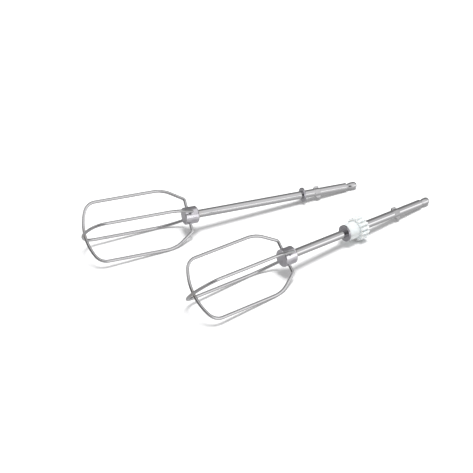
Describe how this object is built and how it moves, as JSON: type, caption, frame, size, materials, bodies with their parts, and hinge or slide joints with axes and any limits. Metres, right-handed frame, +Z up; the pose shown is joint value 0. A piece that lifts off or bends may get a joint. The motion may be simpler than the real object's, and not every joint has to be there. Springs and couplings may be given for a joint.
{
  "type": "pair of hand mixer beaters",
  "caption": "Pair of wire-loop beaters for a hand mixer lying side by side, one plain with a stop ring and one with a white plastic drive gear on its rod.",
  "frame": {"origin": "on the surface the pair lies on, in the middle of the pair's footprint", "axes": "+X along the plain beater from its basket to its drive end, +Z up"},
  "size_m": [0.2556, 0.135, 0.0383],
  "materials": {
    "rod_steel": "polished",
    "hub_steel": "polished",
    "wire_steel": "polished",
    "ring_steel": "satin",
    "gear_plastic": "smooth moulded"
  },
  "bodies": {
    "plain_beater": {"plain_rod": "rod_steel", "plain_hub": "hub_steel", "plain_inner_loop": "wire_steel", "plain_outer_loop": "wire_steel", "plain_stop_ring": "ring_steel"},
    "geared_beater": {"geared_rod": "rod_steel", "geared_hub": "hub_steel", "geared_inner_loop": "wire_steel", "geared_outer_loop": "wire_steel", "geared_stop_ring": "ring_steel", "geared_drive_gear": "gear_plastic"}
  },
  "joints": [
    {"name": "geared_beater_lift", "type": "slide", "parent": "plain_beater", "child": "geared_beater", "axis": [0, 0, 1], "range_m": [0, 0.12]}
  ]
}
